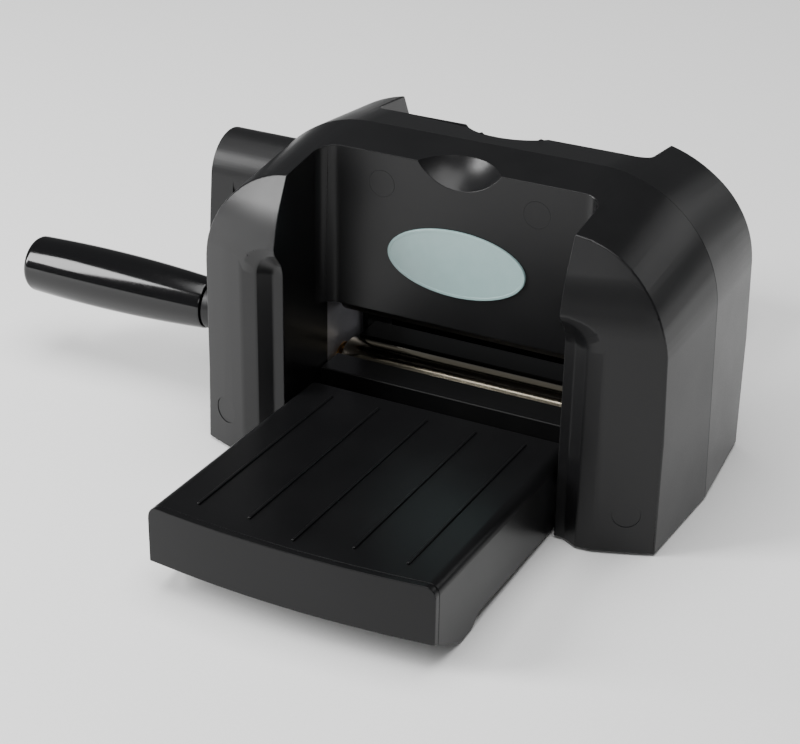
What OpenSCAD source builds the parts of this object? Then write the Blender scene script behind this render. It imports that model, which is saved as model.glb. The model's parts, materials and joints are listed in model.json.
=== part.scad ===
// Tabletop die cutting machine: two steel rollers in a two-piece case, turned by a side crank,
// with a tray at the front and at the back that fold up over the case.
// X runs along the rollers, Y from the front (-) to the back (+), Z up. The origin is on the table,
// under the middle of the rollers. All sizes are millimetres.

/* [Case] */
// Clear width between the side housings
throat_w = 119; // [100:0.5:150]
// Width of one side housing at its foot
cheek_w = 42.8; // [42:0.2:60]
// Height of the case at its middle seam
case_h = 133.5; // [128:0.5:170]
// Distance from the seam to the edge between the sides and a front face
half_depth = 49.4; // [46:0.2:70]
// How much lower the top is at that edge than at the seam
top_fall = 6.2; // [2:0.2:12]
// How much narrower each side is at that edge than at the seam
side_fall = 3.3; // [0:0.1:6]
// Radius of the case's upper corners at the seam
corner_r = 50; // [30:1:60]
// Radius of the bow of a front face, seen from above
bow_r = 250; // [200:5:400]
// Wall thickness of the moulded case
wall = 3; // [2:0.1:4]
// Wall thickness beside and behind the recess
inner_wall = 2.5; // [1.8:0.1:3.5]
// Distance from the seam to the face of the upright panel
panel_y = 22.5; // [20:0.5:26]
// Height of the panel's lower edge above the table
panel_z = 62; // [58:0.5:70]
// Gap between the case and the table
case_lift = 1; // [0.6:0.1:3]

/* [Rollers and gears] */
// Radius of both rollers
roller_r = 10; // [8:0.25:11]
// Gap between the rollers, where the plates pass
feed_gap = 15; // [12:0.5:18]
// Height of the lower roller's top above the table
feed_z = 34.5; // [32:0.5:38]
// Radius of the roller journals and the crank shaft
shaft_r = 5; // [4:0.25:6]
// Teeth on the crank pinion
pinion_teeth = 14; // [13:1:18]
// Teeth on the large gear that the pinion drives
drive_teeth = 54; // [48:1:56]
// Teeth on each of the two gears that join the rollers
sync_teeth = 28; // [24:1:32]
// Face width of every gear
gear_w = 5; // [4:0.5:7]
// Thickness of the steel side plates
plate_t = 3; // [2:0.25:4]
// Half the depth of a side plate
plate_half = 26; // [24:1:30]

/* [Crank] */
// Radius of the hub and of the arm's upper end
hub_r = 16.5; // [14:0.5:18]
// Radius of the arm's lower end
arm_end_r = 14.5; // [12:0.5:16]
// Distance from the crank shaft to the grip's axis
arm_len = 62.9; // [50:0.5:80]
// Thickness of the arm
arm_t = 10.5; // [8:0.5:14]
// Forward lean of the arm from straight down, in degrees
arm_lean = 7.6; // [0:0.2:20]
// How far the arm's outer face stands outside the case's widest point
arm_out = 12.7; // [11:0.1:20]
// Length of the grip
grip_len = 91; // [70:1:110]
// Largest radius of the grip
grip_r = 13.25; // [11:0.25:16]
// Radius of the bolt that the grip turns on
spindle_r = 4; // [3:0.25:5]

/* [Trays] */
// Half the width of a tray
tray_half = 58; // [48:0.5:74]
// Height of a tray's top at its inner end
tray_z = 32; // [30:0.5:34]
// Upward slope of a tray's top away from the case, in degrees
tray_tilt = 2.3; // [0:0.1:4]
// Wall thickness of the trays
tray_wall = 2.5; // [1.8:0.1:3.2]
// Distance from the seam to a tray's hinge axis
hinge_y = 44.25; // [43:0.25:48]
// Height of a tray's hinge axis
hinge_z = 15.25; // [14.5:0.25:17]
// Radius of the hinge rods
hinge_r = 2.5; // [2:0.1:3.2]
// How far a tray's end face bows out at its middle
lip_bow = 4; // [1:0.5:6]

/* [Fits] */
// Radial clearance of every shaft that turns in a bore
run_gap = 0.05; // [0.02:0.01:0.1]
// Clearance between parts that are fixed to each other
fix_gap = 0.05; // [0:0.01:0.2]
// Gap between a roller and the bed in front of it
bed_gap = 1.2; // [0.8:0.1:3]
// Play between the teeth of two gears
backlash = 0.25; // [0.15:0.05:0.5]

/* [Hidden] */
$fn = 64;

black_abs = "#222224";
gloss_black = "#0e0e10";
steel = "#b9bcc0";
chrome = "#dadde0";
bronze = "#a9824c";
nylon = "#e4e0d2";
rubber = "#161616";
sage = "#8fa7a3";

// Case
throat_half = throat_w / 2;
foot_half = throat_half + cheek_w;
draft = 2.4;                            // how much the sides close in from foot to corner
shoulder_half = foot_half - draft;
edge_h = case_h - top_fall;
edge_r = corner_r - 4;
bow_apex = half_depth + bow_r - sqrt(bow_r * bow_r - pow(foot_half - side_fall, 2));
lean = 0.5;                             // how far the upper front face leans back per mm of height
big = 400;
// Rollers, from the table up
lower_z = feed_z - roller_r;
upper_z = feed_z + feed_gap + roller_r;
gear_mod = (upper_z - lower_z) / sync_teeth;
crank_z = upper_z + gear_mod * (pinion_teeth + drive_teeth) / 2;
pressure = 20;
addendum = 0.8 * gear_mod;
dedendum = 1.2 * gear_mod;
// Stations along X, measured outwards from the middle
side_gap = 0.2;
plate_x = throat_half + inner_wall + side_gap;
plate_out = plate_x + plate_t;
bush_flange = 0.8;
clip_t = 1;
sync_x = plate_out + bush_flange + side_gap;
drive_x = sync_x + gear_w + clip_t + 1.2;
outer_plate_x = drive_x + gear_w + bush_flange + 2 * side_gap;
outer_plate_t = 2.5;
hub_in = outer_plate_x + outer_plate_t + 2.2;
roller_half = throat_half - 1.5;
arm_x = foot_half + arm_out;
collar_x = arm_x + 6;
grip_x = collar_x + 1;
grip_end = grip_x + grip_len;
bush_r = shaft_r + 2;
// Crank, in the Y-Z plane
grip_y = -arm_len * sin(arm_lean);
grip_z = crank_z - arm_len * cos(arm_lean);
// Case fittings
scoop_r = 24.5;
scoop_at = [0, -panel_y - 11.9, case_h + 9.2];
recess_r = 8;                           // radius of the recess's upright back corners
cove_z = 86;                            // height where the cove beside a folded tray turns in
badge_z = 90.5;
panel_screws = [33, 118];               // X and Z of the upper pair
foot_screw_site = [throat_half + 28.5, 18];
foot_at = [throat_half + 24.5, 36];
middle_foot_r = 10;                     // a glued pad under the rollers, where the load comes down
screw_r = 1.5;
plug_r = 5.5;
base_t = 3.4;
base_z = case_lift + 0.2;
base_top = base_z + base_t;
bed_y = panel_y + 2.5;
bed_t = 3;
roller_chord = sqrt(roller_r * roller_r - pow(tray_z - bed_t - lower_z, 2));
bed_in = roller_chord + bed_gap;        // the bed's edge follows the roller at its own height
bed_x = throat_half - 0.3;
window_half = 18;                       // half the depth of the gap that shows a side plate
lower_bar_y = window_half - 4.2;
// Trays
tray_in = 37.8;                         // distance from the seam to a tray's inner end
fold_reach = case_h + 0.3 - hinge_z;    // the end face comes level with the case's top when folded
tray_corner = hinge_y + fold_reach - lip_bow - 0.7;
lip_r = (tray_half * tray_half + lip_bow * lip_bow) / (2 * lip_bow);

function tray_top(y) = tray_z + (y - tray_in) * tan(tray_tilt);
function bow_half(y) = sqrt(max(0, bow_r * bow_r - pow(bow_r - bow_apex + y, 2)));
function face_y(x) = bow_apex - bow_r + sqrt(bow_r * bow_r - x * x);
function both_sides(points) = concat(points, [for (i = [len(points) - 1:-1:0])
    [-points[i][0], points[i][1]]]);

// Half turn of an arch in X-Z: a straight side that leans in, then a round corner up to a flat top
function arch(foot, shoulder, top, r) = both_sides(concat([[foot, case_lift]],
    [for (a = [0:6:90]) [shoulder - r + r * cos(a), top - r + r * sin(a)]]));

module along_x(x0, x1) {
    translate([x0, 0, 0]) rotate([90, 0, 90]) linear_extrude(x1 - x0) children();
}

module along_y(y0, y1) {
    translate([0, y1, 0]) rotate([90, 0, 0]) linear_extrude(y1 - y0) children();
}

module rod_x(x0, x1, y, z, r) {
    translate([x0, y, z]) rotate([0, 90, 0]) cylinder(h = x1 - x0, r = r);
}

module rod_y(y0, y1, x, z, r) {
    translate([x, y0, z]) rotate([-90, 0, 0]) cylinder(h = y1 - y0, r = r);
}

module ring_x(x0, x1, y, z, r_out, r_in) {
    difference() {
        rod_x(x0, x1, y, z, r_out);
        rod_x(x0 - 1, x1 + 1, y, z, r_in);
    }
}

module block(x0, x1, y0, y1, z0, z1) {
    translate([x0, y0, z0]) cube([x1 - x0, y1 - y0, z1 - z0]);
}

module front_and_back() {
    children();
    mirror([0, 1, 0]) children();
}

module left_and_right() {
    children();
    mirror([1, 0, 0]) children();
}

// ---- Case shells ----

// The convex outside of the front half, drawn in by t on every side but the seam and the foot
module half_body(t) {
    hull() {
        along_y(-0.01 + (t > 0 ? 0.1 : 0), t > 0 ? 0.1 : 0)
            polygon(arch(foot_half - t, shoulder_half - t, case_h - t, corner_r - t));
        along_y(-half_depth + t, -half_depth + t + 0.01)
            polygon(arch(foot_half - side_fall - t, shoulder_half - side_fall + 1.4 - t,
                edge_h - t, edge_r - t));
        for (d = [3, 6, 9, 12, 13.5])
            along_y(-half_depth - d + t, -half_depth - d + t + 0.01)
                polygon(arch(bow_half(half_depth + d) - t, bow_half(half_depth + d) - t,
                    edge_h - d / lean - t, edge_r - 1.5 * d - t));
    }
}

// Finger scoop in the top edge of the panel, grown by t
module scoop(t) {
    translate(scoop_at) sphere(r = scoop_r + t);
}

// Cove along the inner edge of an upright, beside a folded tray: a ledge, then a slope to the face.
// Its top turns a quarter circle about a point on the inner wall.
ledge_y = half_depth + 5.4;
cove_w = 13.5;

module upright_cove() {
    linear_extrude(cove_z) polygon([[throat_half - 1, -big], [throat_half - 1, -ledge_y],
        [throat_half + 4, -ledge_y], [throat_half + 10.5, -ledge_y - 3.4],
        [throat_half + cove_w, -ledge_y - 4.2], [throat_half + cove_w, -big]]);
    translate([throat_half, 0, cove_z]) rotate([90, 0, 0]) rotate_extrude()
        polygon([[0, ledge_y], [4, ledge_y], [cove_w, ledge_y + 7.6], [cove_w, big], [0, big]]);
}

// The recess between the uprights, with round upright corners where it meets the panel
module recess() {
    block(-throat_half, throat_half, -big, -panel_y - recess_r, -1, big);
    block(-throat_half + recess_r, throat_half - recess_r, -big, -panel_y, panel_z - 1, big);
    left_and_right() translate([throat_half - recess_r, -panel_y - recess_r, panel_z - 1])
        cylinder(h = big, r = recess_r);
}

module shell_half() {
    difference() {
        half_body(0);
        // hollow side housings and the middle chamber behind the panel
        intersection() {
            half_body(wall);
            difference() {
                union() {
                    left_and_right()
                        block(throat_half + inner_wall, foot_half, -big, 1, -1, big);
                    block(-throat_half - inner_wall - 1, throat_half + inner_wall + 1,
                        -window_half, 1, -1, big);
                    block(-throat_half, throat_half, -panel_y + inner_wall, 1, -1, big);
                }
                scoop(inner_wall);
                left_and_right() {
                    block(throat_half - 1, throat_half + 16, -big, -ledge_y + wall, -1,
                        cove_z + cove_w + wall);
                    rod_y(-panel_y, 1, panel_screws[0], panel_screws[1], 5);
                    rod_y(-big / 4, 0, foot_screw_site[0], foot_screw_site[1], 5);
                    translate([foot_at[0], -foot_at[1], base_top]) cylinder(h = 25, r = 4);
                    block(foot_at[0], foot_half, -foot_at[1] - 1.2, -foot_at[1] + 1.2,
                        base_top, base_top + 25);
                }
            }
        }
        // open foot below the bosses
        intersection() {
            half_body(wall);
            left_and_right()
                block(throat_half + inner_wall, foot_half, -foot_at[1] - 8, 1, -1, base_top);
        }
        recess();
        block(-throat_half, throat_half, -big, 1, -1, panel_z);
        block(-throat_half - inner_wall - 1, throat_half + inner_wall + 1,
            -window_half, 1, -1, panel_z);
        scoop(0);
        left_and_right() {
            upright_cove();
            rod_x(throat_half - 1, throat_half + inner_wall + 1, -hinge_y, hinge_z,
                hinge_r + fix_gap);
        }
        rod_x(-big, -plate_out, 0, crank_z, hub_r + 0.4);
        left_and_right() translate([foot_at[0], -foot_at[1], -1])
            cylinder(h = 20, r = screw_r + fix_gap);
    }
}

// Counterbored screw holes that run from the front faces to the seam
module screw_wells() {
    left_and_right() {
        rod_y(-big, 1, panel_screws[0], panel_screws[1], screw_r + fix_gap);
        rod_y(-big, -14, panel_screws[0], panel_screws[1], 3.5);
        rod_y(-panel_y - 1, -panel_y + 1.5, panel_screws[0], panel_screws[1],
            plug_r + fix_gap);
        rod_y(-big, 1, foot_screw_site[0], foot_screw_site[1], screw_r + fix_gap);
        rod_y(-big, -14, foot_screw_site[0], foot_screw_site[1], 3.5);
        upright_plug(plug_r + fix_gap, -1, 3);
    }
}

// A disc that lies in the bowed face of the right upright
module upright_plug(r, y0, y1) {
    x = foot_screw_site[0];
    translate([x, -face_y(x), foot_screw_site[1]]) rotate([0, 0, asin(x / bow_r)])
        rod_y(y0, y1, 0, 0, r);
}

module front_shell() {
    color(black_abs) difference() {
        shell_half();
        screw_wells();
    }
}

module rear_shell() {
    color(black_abs) difference() {
        mirror([0, 1, 0]) shell_half();
        left_and_right() {
            rod_y(-1, 12, panel_screws[0], panel_screws[1], screw_r + fix_gap);
            rod_y(-1, 12, foot_screw_site[0], foot_screw_site[1], screw_r + fix_gap);
        }
    }
}

module shell_screws() {
    color(steel) left_and_right() for (site = [panel_screws, foot_screw_site]) {
        rod_y(-14, 11.5, site[0], site[1], screw_r);
        rod_y(-16, -14, site[0], site[1], 3);
    }
}

module screw_plugs() {
    color(black_abs) left_and_right() {
        rod_y(-panel_y, -panel_y + 1.4, panel_screws[0], panel_screws[1], plug_r);
        upright_plug(plug_r, 0.3, 1.9);
    }
}

module badge() {
    half_w = 29.7;
    half_h = 14;
    color(sage) along_y(-panel_y - 1.2, -panel_y)
        translate([0, badge_z])
            polygon([for (a = [0:5:355]) [half_w * cos(a), half_h * sin(a)]]);
}

// ---- Base ----

module base_cover() {
    color(black_abs) difference() {
        union() {
            left_and_right() {
                block(throat_half + inner_wall + 0.4, foot_half - 7.3,
                    -half_depth + 3.4, half_depth - 3.4, base_z, base_top);
            }
            block(-throat_half - 3, throat_half + 3, -window_half + 0.3, window_half - 0.3,
                base_z, base_top);
            block(-throat_half + 0.3, throat_half - 0.3, -bed_y, bed_y, base_z, base_top);
        }
        translate([0, 0, -1]) cylinder(h = base_z + 2, r = middle_foot_r + fix_gap);
        front_and_back() left_and_right() {
            translate([foot_at[0], foot_at[1], -1]) cylinder(h = 20, r = screw_r + fix_gap);
            translate([foot_at[0], foot_at[1], -1]) cylinder(h = base_z + 2, r = 8 + fix_gap);
            translate([40, lower_bar_y, -1]) cylinder(h = 20, r = screw_r + fix_gap);
            translate([40, lower_bar_y, -1]) cylinder(h = base_z + 2, r = 3.2);
        }
    }
}

module rubber_feet() {
    color(rubber) cylinder(h = base_z + 1, r = middle_foot_r);
    color(rubber) front_and_back() left_and_right()
        translate([foot_at[0], foot_at[1], 0]) difference() {
            cylinder(h = base_z + 1, r = 8);
            translate([0, 0, -1]) cylinder(h = 20, r = screw_r + 1);
            translate([0, 0, -1]) cylinder(h = 1.8, r = 3.5);
        }
}

module foot_screws() {
    color(steel) front_and_back() left_and_right()
        translate([foot_at[0], foot_at[1], 0]) {
            translate([0, 0, 0.4]) cylinder(h = base_z + 16, r = screw_r);
            translate([0, 0, 0.2]) cylinder(h = 0.6, r = 3);
        }
}

module lower_tie_bars() {
    color(steel) front_and_back() difference() {
        block(-plate_x + 0.02, plate_x - 0.02, lower_bar_y - 4, lower_bar_y + 4,
            base_top + 0.02, base_top + 7);
        left_and_right() {
            translate([40, lower_bar_y, 0]) cylinder(h = 20, r = screw_r + fix_gap);
            rod_x(plate_x - 12, plate_x + 1, lower_bar_y, base_top + 3.5,
                screw_r + fix_gap);
        }
    }
}

module base_screws() {
    color(steel) front_and_back() left_and_right() translate([40, lower_bar_y, 0]) {
        translate([0, 0, base_z + 0.6]) cylinder(h = base_t + 5, r = screw_r);
        translate([0, 0, base_z]) cylinder(h = 0.98, r = 3);
    }
}

// The fixed bed in front of the lower roller: a flat top on a front wall, with ribs under it
module bed() {
    color(black_abs) difference() {
        block(-bed_x, bed_x, -bed_y, -bed_in, base_top + 0.02, tray_z);
        block(-bed_x - 1, bed_x + 1, -bed_y + inner_wall, -bed_in + 1, -1, tray_z - bed_t);
        translate([-big / 2, -bed_y, tray_z]) rotate([45, 0, 0])
            translate([0, -1, -1]) cube([big, 2, 2]);
    }
    color(black_abs) for (x = [-40, -13, 13, 40])
        block(x - 0.8, x + 0.8, -bed_y + 1, -roller_r - bed_gap, base_top + 8, tray_z - 1);
}

module front_bed() {
    bed();
}

module rear_bed() {
    mirror([0, 1, 0]) bed();
}

// ---- Steel frame ----

upper_rod_at = [12.5, crank_z + 2];       // Y and Z of the upper tie rods

module side_plate_blank() {
    along_x(plate_x, plate_out) difference() {
        polygon(both_sides([[plate_half, base_top + 0.02], [plate_half, 72],
            [15, crank_z + 9]]));
        for (z = [lower_z, upper_z]) translate([0, z]) circle(r = bush_r + fix_gap);
        for (s = [-1, 1]) {
            translate([s * lower_bar_y, base_top + 3.5]) circle(r = screw_r + fix_gap);
            translate([s * upper_rod_at[0], upper_rod_at[1]]) circle(r = screw_r + fix_gap);
        }
    }
}

module right_side_plate() {
    color(steel) side_plate_blank();
}

spacer_sites = [[-23, 28], [23, 28], [-15, crank_z - 6], [15, crank_z - 6]];
spacer_r = 3;

module left_side_plate() {
    color(steel) difference() {
        mirror([1, 0, 0]) side_plate_blank();
        rod_x(-plate_out - 1, -plate_x + 1, 0, crank_z, bush_r + fix_gap);
        for (site = spacer_sites)
            rod_x(-plate_out - 1, -plate_x + 1, site[0], site[1], screw_r + fix_gap);
    }
}

module upper_tie_rods() {
    color(steel) front_and_back() difference() {
        rod_x(-plate_x + 0.02, plate_x - 0.02, upper_rod_at[0], upper_rod_at[1], 4);
        left_and_right() rod_x(plate_x - 12, plate_x + 1, upper_rod_at[0],
            upper_rod_at[1], screw_r + fix_gap);
    }
}

module tie_screws() {
    color(steel) front_and_back() left_and_right()
        for (at = [upper_rod_at, [lower_bar_y, base_top + 3.5]]) {
            rod_x(plate_x - 11, plate_out, at[0], at[1], screw_r);
            rod_x(plate_out + 0.02, plate_out + 2, at[0], at[1], 2.6);
        }
}

// A flanged bush in the side plate on the right, with its flange outside
module bush(x_in, t, z) {
    difference() {
        union() {
            rod_x(x_in - 0.6, x_in + t, 0, z, bush_r);
            rod_x(x_in + t + 0.02, x_in + t + bush_flange, 0, z, bush_r + 1.5);
            rod_x(x_in + t, x_in + t + 0.1, 0, z, bush_r);
        }
        rod_x(x_in - 2, x_in + t + 2, 0, z, shaft_r + run_gap);
    }
}

module roller_bushes() {
    color(bronze) left_and_right() {
        bush(plate_x, plate_t, lower_z);
        bush(plate_x, plate_t, upper_z);
    }
}

module crank_bushes() {
    color(bronze) mirror([1, 0, 0]) {
        bush(plate_x, plate_t, crank_z);
        bush(outer_plate_x, outer_plate_t, crank_z);
        bush(outer_plate_x, outer_plate_t, upper_z);
    }
}

module gearbox_plate() {
    color(steel) mirror([1, 0, 0]) along_x(outer_plate_x, outer_plate_x + outer_plate_t)
        difference() {
            polygon(both_sides([[plate_half, 24.5], [plate_half, upper_z], [18, crank_z - 5],
                [9.5, crank_z + 9]]));
            for (z = [upper_z, crank_z]) translate([0, z]) circle(r = bush_r + fix_gap);
            for (site = spacer_sites) translate(site) circle(r = screw_r + fix_gap);
        }
}

module gearbox_spacers() {
    color(steel) for (site = spacer_sites) mirror([1, 0, 0]) difference() {
        rod_x(plate_out + 0.02, outer_plate_x - 0.02, site[0], site[1], spacer_r);
        rod_x(plate_out - 1, outer_plate_x + 1, site[0], site[1], screw_r + fix_gap);
    }
}

module gearbox_screws() {
    color(steel) for (site = spacer_sites) mirror([1, 0, 0]) {
        rod_x(plate_x, outer_plate_x + outer_plate_t, site[0], site[1], screw_r);
        rod_x(outer_plate_x + outer_plate_t + 0.02, outer_plate_x + outer_plate_t + 1.6,
            site[0], site[1], 2.6);
    }
}

// ---- Gears ----

// Angle between a tooth's middle and the start of its involute, and how that closes with radius
function roll_angle(a) = tan(a) * 180 / PI - a;
function flank_angle(n, r) = 90 / n - backlash / (gear_mod * n * 2) * 180 / PI
    + roll_angle(pressure)
    - roll_angle(acos(min(1, gear_mod * n / 2 * cos(pressure) / r)));

function tooth_radii(n) = let (pitch_r = gear_mod * n / 2, root = pitch_r - dedendum,
    start = max(root, pitch_r * cos(pressure)), tip = pitch_r + addendum)
    concat(root < start - 0.05 ? [root] : [],
        [for (k = [0:3]) start + (tip - start) * k / 3]);

// A spur gear's outline in Y-Z, turned so that a tooth (phase 0) or a gap (phase 0.5) is at -Z
function gear_points(n, phase) = let (radii = tooth_radii(n), last = len(radii) - 1)
    [for (i = [0:n - 1]) for (s = [-1, 1]) for (k = [0:last])
        let (r = radii[s < 0 ? k : last - k],
            a = -90 + (i + phase) * 360 / n + s * flank_angle(n, r))
        [r * cos(a), r * sin(a)]];

module gear(x_in, z, n, phase) {
    mirror([1, 0, 0]) difference() {
        translate([0, 0, z]) along_x(x_in, x_in + gear_w) polygon(gear_points(n, phase));
        rod_x(x_in - 1, x_in + gear_w + 1, 0, z, shaft_r + fix_gap);
    }
}

// A gap of a wheel with n teeth is at +Z for this phase
function gap_up(n) = n % 2 == 0 ? 0.5 : 0;

module crank_pinion() {
    color(steel) gear(drive_x, crank_z, pinion_teeth, 0);
}

module drive_gear() {
    color(nylon) gear(drive_x, upper_z, drive_teeth, gap_up(drive_teeth));
}

module upper_sync_gear() {
    color(nylon) gear(sync_x, upper_z, sync_teeth, 0);
}

module lower_sync_gear() {
    color(nylon) gear(sync_x, lower_z, sync_teeth, gap_up(sync_teeth));
}

// ---- Rollers and crank ----

clip_x = plate_out + bush_flange + side_gap;
lower_clip_x = sync_x + gear_w + side_gap;

module clip_groove(x, z) {
    ring_x(x - 0.02, x + clip_t + 0.02, 0, z, shaft_r + 1, shaft_r - 0.8);
}

module clip(x, z) {
    ring_x(x, x + clip_t, 0, z, shaft_r + 2.2, shaft_r - 0.78);
}

module upper_roller() {
    color(chrome) difference() {
        union() {
            rod_x(-roller_half, roller_half, 0, upper_z, roller_r);
            rod_x(-hub_in + 0.3, clip_x + 3, 0, upper_z, shaft_r);
        }
        clip_groove(clip_x, upper_z);
    }
}

module upper_roller_clips() {
    color(steel) clip(clip_x, upper_z);
}

module lower_roller() {
    color(chrome) difference() {
        union() {
            rod_x(-roller_half, roller_half, 0, lower_z, roller_r);
            rod_x(-lower_clip_x - clip_t - 0.6, clip_x + 3, 0, lower_z, shaft_r);
        }
        clip_groove(clip_x, lower_z);
        clip_groove(-lower_clip_x - clip_t, lower_z);
    }
}

module lower_roller_clips() {
    color(steel) {
        clip(clip_x, lower_z);
        clip(-lower_clip_x - clip_t, lower_z);
    }
}

module crank_shaft() {
    color(steel) difference() {
        rod_x(-arm_x + 5.5, -plate_x + 2, 0, crank_z, shaft_r);
        rod_x(-arm_x, -arm_x + 22, 0, crank_z, 2.5 + fix_gap);
    }
}

// Sides of the arm: the common tangents of its two round ends
tangent = asin((hub_r - arm_end_r) / arm_len);

module arm_outline() {
    circle(r = hub_r);
    translate([0, -arm_len]) circle(r = arm_end_r);
    polygon([for (s = [-1, 1]) for (end = s < 0 ? [0, 1] : [1, 0])
        let (r = end == 0 ? hub_r : arm_end_r)
        [s * r * cos(tangent), -end * arm_len - r * sin(tangent)]]);
}

module crank_arm() {
    color(black_abs) difference() {
        union() {
            translate([0, 0, crank_z]) rotate([-arm_lean, 0, 0])
                along_x(-arm_x, -arm_x + arm_t) arm_outline();
            rod_x(-arm_x + 1, -hub_in, 0, crank_z, hub_r - 0.8);
            rod_x(-collar_x, -arm_x + 1, grip_y, grip_z, 10.5);
        }
        rod_x(-arm_x + 5.5, -hub_in + 1, 0, crank_z, shaft_r + fix_gap);
        rod_x(-arm_x - 1, -arm_x + 6, 0, crank_z, 2.5 + fix_gap);
        rod_x(-arm_x - 1, -arm_x + 4.5, 0, crank_z, 8 + fix_gap);
        rod_x(-collar_x - 1, -arm_x + arm_t + 1, grip_y, grip_z, spindle_r + fix_gap);
        rod_x(-arm_x + arm_t - 4, -arm_x + arm_t + 1, grip_y, grip_z, 7.5);
    }
}

module arm_screw() {
    color(steel) {
        rod_x(-arm_x + 4.4, -arm_x + 20, 0, crank_z, 2.5);
        rod_x(-arm_x + 1.8, -arm_x + 4.48, 0, crank_z, 5);
    }
}

module hub_cap() {
    color(black_abs) rod_x(-arm_x, -arm_x + 1.6, 0, crank_z, 8);
}

// Shoulder bolt: its head is at the grip's outer end and its nut inside the arm
module grip_bolt() {
    color(steel) {
        rod_x(-grip_end + 6.4, -arm_x + arm_t - 0.6, grip_y, grip_z, spindle_r);
        rod_x(-grip_end + 3.4, -grip_end + 6.5, grip_y, grip_z, 6.5);
        rod_x(-arm_x + arm_t - 3.9, -arm_x + arm_t - 0.8, grip_y, grip_z, 6.8);
    }
}

// A slim barrel, fullest a little past its middle
function barrel(x) = grip_r - 0.00073 * pow(x - grip_x - 0.62 * grip_len, 2);

module grip() {
    end_round = 3;
    color(gloss_black) difference() {
        translate([0, grip_y, grip_z]) rotate([0, -90, 0]) rotate_extrude()
            polygon(concat([[0, grip_x]], [for (k = [0:12])
                let (x = grip_x + (grip_len - end_round) * k / 12) [barrel(x), x]],
                [for (a = [15:15:90]) [barrel(grip_end - end_round) - end_round
                    + end_round * cos(a), grip_end - end_round + end_round * sin(a)]],
                [[0, grip_end]]));
        rod_x(-grip_end - 1, -grip_x + 1, grip_y, grip_z, spindle_r + run_gap);
        rod_x(-grip_end - 1, -grip_end + 6.6, grip_y, grip_z, 7.6);
    }
}

module grip_cap() {
    color(gloss_black) rod_x(-grip_end + 0.4, -grip_end + 2.4, grip_y, grip_z, 7.6 - fix_gap);
}

// ---- Trays ----

module front_hinge_rod() {
    color(steel) rod_x(-plate_x - 1.8, plate_x + 1.8, -hinge_y, hinge_z, hinge_r);
}

module rear_hinge_rod() {
    mirror([0, 1, 0]) front_hinge_rod();
}

module hinge_clips() {
    x = throat_half + inner_wall + 0.1;
    color(steel) front_and_back() left_and_right()
        ring_x(x, x + 1, -hinge_y, hinge_z, hinge_r + 2.5, hinge_r + fix_gap);
}

// Side view of a tray in Y-Z: level top, sloped end, foot on the table, round hinge end
foot_y = 130;
function tray_side(t) = [[-tray_in - t, tray_top(tray_in) - t],
    [-tray_in - t, 16], [-tray_in - t - 1, 7], [-tray_in - t - 6, 1.8 + t], [-52.4, 1.8 + t],
    [-foot_y + 19, 4.2 + t], [-foot_y + 9, 4.4 + t], [-foot_y + 4, 0.8 + t],
    [-foot_y - 4, 0.6 + t], [-tray_corner + t * 0.6, 13.5 + t * 0.6],
    [-tray_corner - lip_bow * 2, 13.5 + t * 0.6],
    [-tray_corner - lip_bow * 2, tray_top(tray_corner) - t]];

face_t = 3;                             // thickness of the end face, which belongs to the cover
seam_gap = 0.4;
tray_edge_r = 4.5;
edge_proud = 0.12;                      // the round meets the flats at a slight angle, not tangent

// What the rounded upper edges along both sides of a tray leave off
module tray_edges() {
    down = tray_edge_r - edge_proud;
    left_and_right() translate([tray_half - down, -tray_in, tray_z - down])
        rotate([-tray_tilt, 0, 0]) difference() {
            block(1, tray_edge_r + 1, -big / 2, 10, 1, tray_edge_r + 1);
            rod_y(-big / 2 - 1, 11, 0, 0, tray_edge_r);
        }
}

// Everything in front of the seam between the deck and the end face, up to the deck's underside
module end_face_zone(gap) {
    block(-big, big, -big, -tray_corner + face_t + gap, 0,
        tray_top(tray_corner - face_t) - tray_wall - 0.1 + gap / 5);
}

module tray_bow() {
    translate([0, -tray_corner - lip_bow + lip_r, -1]) cylinder(h = 60, r = lip_r, $fn = 96);
}

// Deck: top with five guide ribs, and the two sides
module tray_deck() {
    rib_in = 46;
    rib_out = tray_corner - 10;
    difference() {
        intersection() {
            along_x(-tray_half, tray_half) polygon(tray_side(0));
            tray_bow();
        }
        along_x(-tray_half + tray_wall, tray_half - tray_wall) polygon(concat(
            [[-tray_in - tray_wall, tray_top(tray_in) - tray_wall], [-tray_in - tray_wall, -5],
            [-big, -5], [-big, tray_top(big) - tray_wall]]));
        end_face_zone(seam_gap);
        tray_edges();
        left_and_right() rod_x(-big, big, -hinge_y, hinge_z, hinge_r + run_gap);
    }
    for (i = [-2:2])
        translate([i * tray_half * 0.3655 - 0.5, -rib_in, tray_top(rib_in)])
            rotate([-tray_tilt, 0, 0]) translate([0, rib_in - rib_out, -0.5])
                cube([1, rib_out - rib_in, 0.9]);
}

// Cover: the bowed end face, the sloped corner, the foot and the underside, in one moulding
module tray_cover() {
    difference() {
        intersection() {
            along_x(-tray_half, tray_half) polygon(tray_side(0));
            tray_bow();
        }
        along_x(-big, big) polygon(tray_side(tray_wall));
        tray_edges();
        difference() {
            block(-big, big, -big, big, -5, 60);
            end_face_zone(0);
            block(-tray_half + tray_wall + 0.1, tray_half - tray_wall - 0.1,
                -big, -hinge_y + 1.5, -5, 12);
        }
    }
    // back of the end face
    intersection() {
        block(-tray_half, tray_half, -tray_corner, -tray_corner + face_t, 14,
            tray_top(tray_corner - face_t) - tray_wall - 0.1);
        tray_bow();
    }
}

module front_tray_deck() {
    color(black_abs) tray_deck();
}

module front_tray_cover() {
    color(black_abs) tray_cover();
}

module rear_tray_deck() {
    color(black_abs) mirror([0, 1, 0]) tray_deck();
}

module rear_tray_cover() {
    color(black_abs) mirror([0, 1, 0]) tray_cover();
}

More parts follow.
